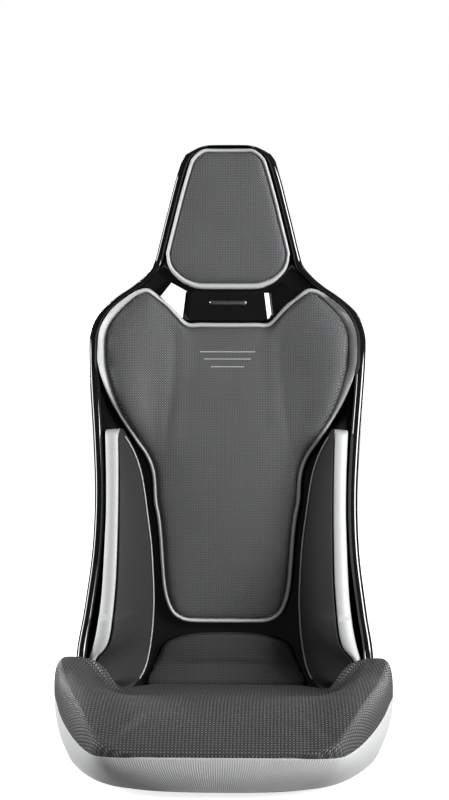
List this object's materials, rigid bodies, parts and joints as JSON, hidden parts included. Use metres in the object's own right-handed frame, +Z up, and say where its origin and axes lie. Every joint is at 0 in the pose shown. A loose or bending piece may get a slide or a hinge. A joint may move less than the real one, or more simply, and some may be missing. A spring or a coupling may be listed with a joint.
{
  "type": "racing seat",
  "caption": "Fixed-back bucket racing seat: glossy moulded shell with fabric head, back, side and seat pads, light borders and a ribbed front skirt.",
  "frame": {"origin": "middle of the bottom of the bounding box, on the plane of the four base bosses", "axes": "+Z up, the seat faces -Y, +X to the right when looking along +Y at its front"},
  "size_m": [0.536, 0.5966, 0.965],
  "materials": {
    "shell": "moulded shell, polished gloss black",
    "pad_fabric": "mid grey woven mesh fabric",
    "cushion_fabric": "dark grey basket-weave fabric with a slight sheen",
    "side_fabric": "charcoal microfibre",
    "trim": "light grey border band",
    "skirt_fabric": "light grey ribbed fabric",
    "foam": "open-cell foam",
    "board": "moulded carrier",
    "hook_loop": "hook-and-loop tape",
    "badge": "satin plain bar",
    "insert": "zinc plated threaded insert"
  },
  "bodies": {
    "root": {"bucket_shell": "shell", "head_pad": "pad_fabric", "head_pad_border": "trim", "head_pad_board": "board", "back_pad": "pad_fabric", "back_pad_border": "trim", "back_pad_board": "board", "bridge_plate": "shell", "badge_bar": "badge", "cushion_cover": "cushion_fabric", "cushion_foam": "foam", "cushion_skirt": "skirt_fabric", "cushion_tail": "cushion_fabric", "tail_piping": "trim", "side_pad_left": "side_fabric", "side_band_left": "trim", "side_piping_left": "trim", "head_strip_left": "hook_loop", "back_strip_upper_left": "hook_loop", "back_strip_lower_left": "hook_loop", "side_strip_left": "hook_loop", "base_boss_front_left": "board", "thread_insert_front_left": "insert", "base_boss_rear_left": "board", "thread_insert_rear_left": "insert", "side_pad_right": "side_fabric", "side_band_right": "trim", "side_piping_right": "trim", "head_strip_right": "hook_loop", "back_strip_upper_right": "hook_loop", "back_strip_lower_right": "hook_loop", "side_strip_right": "hook_loop", "base_boss_front_right": "board", "thread_insert_front_right": "insert", "base_boss_rear_right": "board", "thread_insert_rear_right": "insert"}
  },
  "joints": []
}
